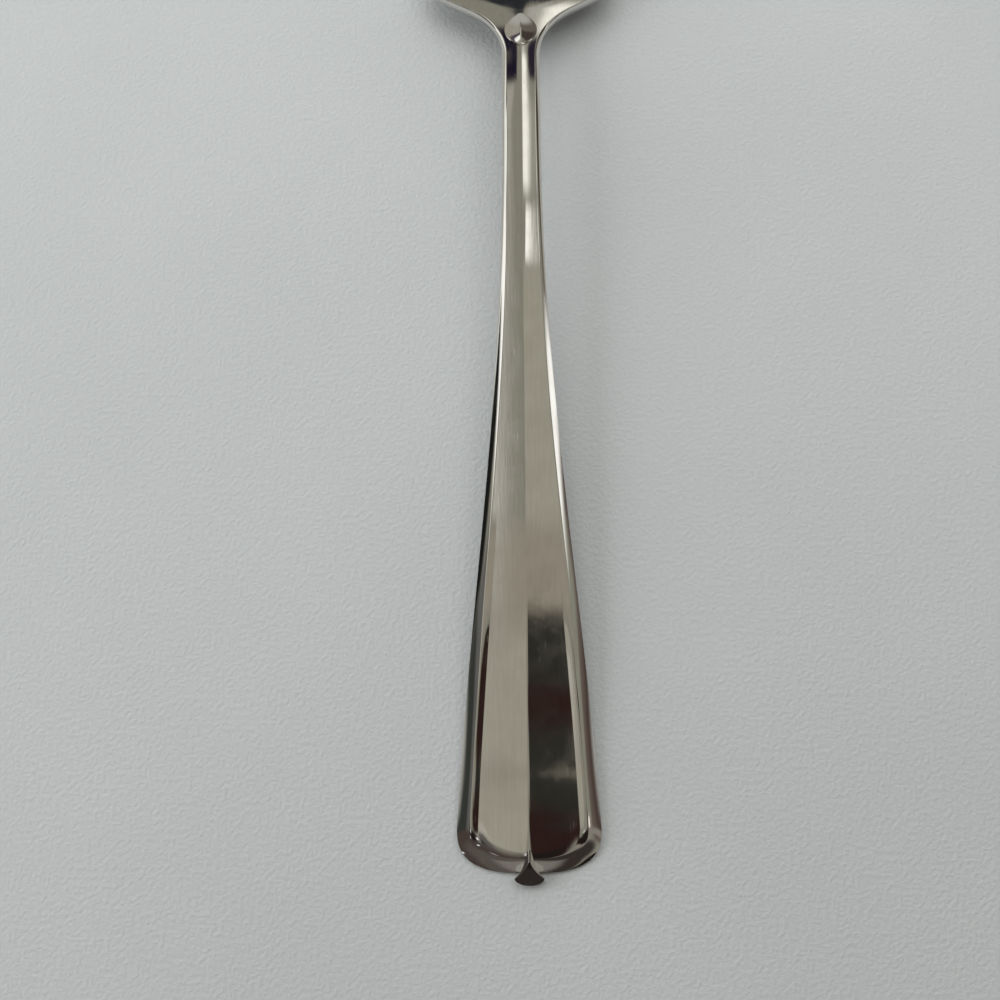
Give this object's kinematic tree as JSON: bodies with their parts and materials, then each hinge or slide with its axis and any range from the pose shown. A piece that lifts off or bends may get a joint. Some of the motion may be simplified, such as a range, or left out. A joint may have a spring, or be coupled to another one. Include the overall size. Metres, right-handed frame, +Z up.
{
  "type": "meat fork",
  "caption": "Polished steel meat fork with a ridged, thread-bordered handle, small end finial, leaf on the neck and curved tines for lifting sliced meat.",
  "frame": {"origin": "on the table under the middle of the fork's length and width, as it lies face up", "axes": "+Y along the fork from the handle's end to the tine tips, +Z up out of the face, +X to the right of someone who holds the handle"},
  "size_m": [0.033, 0.2102, 0.0094],
  "materials": {
    "polished_steel": "mirror-polished stainless steel with fine use scratches"
  },
  "bodies": {
    "root": {"handle": "polished_steel", "end_finial": "polished_steel", "neck_leaf": "polished_steel", "head": "polished_steel", "outer_tine_left": "polished_steel", "inner_tine_left": "polished_steel", "inner_tine_right": "polished_steel", "outer_tine_right": "polished_steel"}
  },
  "joints": []
}
